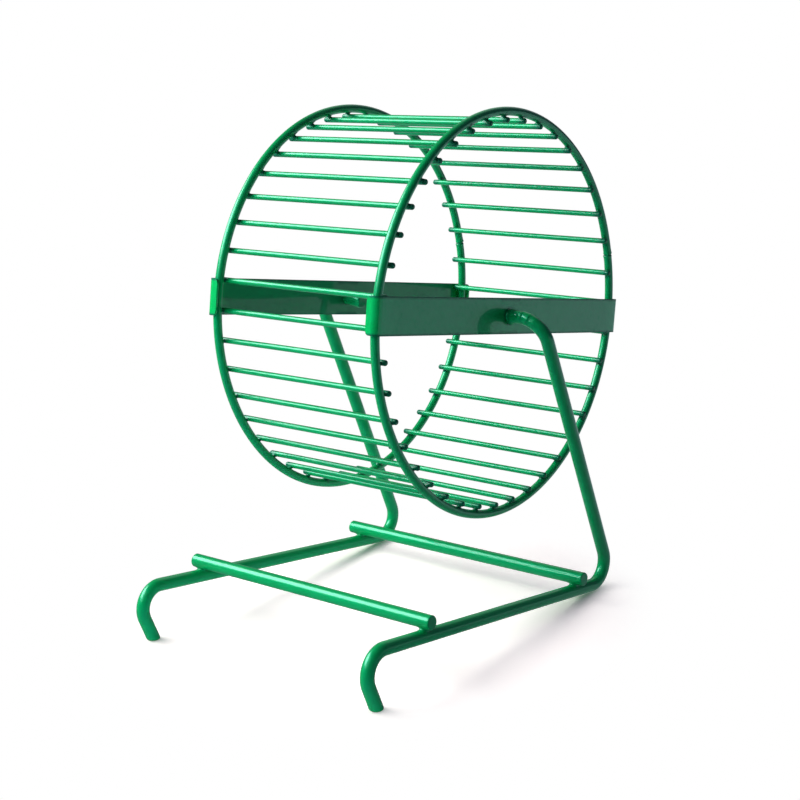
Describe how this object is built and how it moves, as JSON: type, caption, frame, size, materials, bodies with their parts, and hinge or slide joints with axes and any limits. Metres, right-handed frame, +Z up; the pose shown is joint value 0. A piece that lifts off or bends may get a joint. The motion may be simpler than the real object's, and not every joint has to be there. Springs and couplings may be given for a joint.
{
  "type": "hamster wheel",
  "caption": "Open wire running wheel for a small rodent, with rungs between its rings, turning on the stub axles of a bent wire stand.",
  "frame": {"origin": "on the floor, under the middle of the whole object's box", "axes": "+X along the axle, towards the side frame that is nearer in the picture; +Y from the feet towards the legs; +Z up"},
  "size_m": [0.0952, 0.149, 0.1541],
  "materials": {
    "wire_paint": "glossy green enamel with a slight metallic look, on steel wire",
    "strip_paint": "the same green enamel on flat steel strip, which reflects greyer and darker"
  },
  "bodies": {
    "stand": {"side_frame_right": "wire_paint", "side_frame_left": "wire_paint", "crossbar_front": "wire_paint", "crossbar_rear": "wire_paint"},
    "wheel": {"ring_right": "wire_paint", "ring_left": "wire_paint", "strip_right": "strip_paint", "strip_left": "strip_paint", "rung_01": "wire_paint", "rung_02": "wire_paint", "rung_03": "wire_paint", "rung_04": "wire_paint", "rung_05": "wire_paint", "rung_06": "wire_paint", "rung_07": "wire_paint", "rung_08": "wire_paint", "rung_09": "wire_paint", "rung_10": "wire_paint", "rung_11": "wire_paint", "rung_12": "wire_paint", "rung_13": "wire_paint", "rung_14": "wire_paint", "rung_15": "wire_paint", "rung_16": "wire_paint", "rung_17": "wire_paint", "rung_18": "wire_paint", "rung_19": "wire_paint", "rung_20": "wire_paint", "rung_21": "wire_paint", "rung_22": "wire_paint", "rung_23": "wire_paint", "rung_24": "wire_paint", "rung_25": "wire_paint", "rung_26": "wire_paint", "rung_27": "wire_paint", "rung_28": "wire_paint", "rung_29": "wire_paint", "rung_30": "wire_paint", "rung_31": "wire_paint", "rung_32": "wire_paint", "rung_33": "wire_paint", "rung_34": "wire_paint", "rung_35": "wire_paint", "rung_36": "wire_paint", "rung_37": "wire_paint", "rung_38": "wire_paint", "rung_39": "wire_paint", "rung_40": "wire_paint"}
  },
  "joints": [
    {"name": "wheel_spin", "type": "hinge", "parent": "stand", "child": "wheel", "pos_m": [0, 0.01217, 0.0928], "axis": [1, 0, 0], "continuous": true}
  ]
}
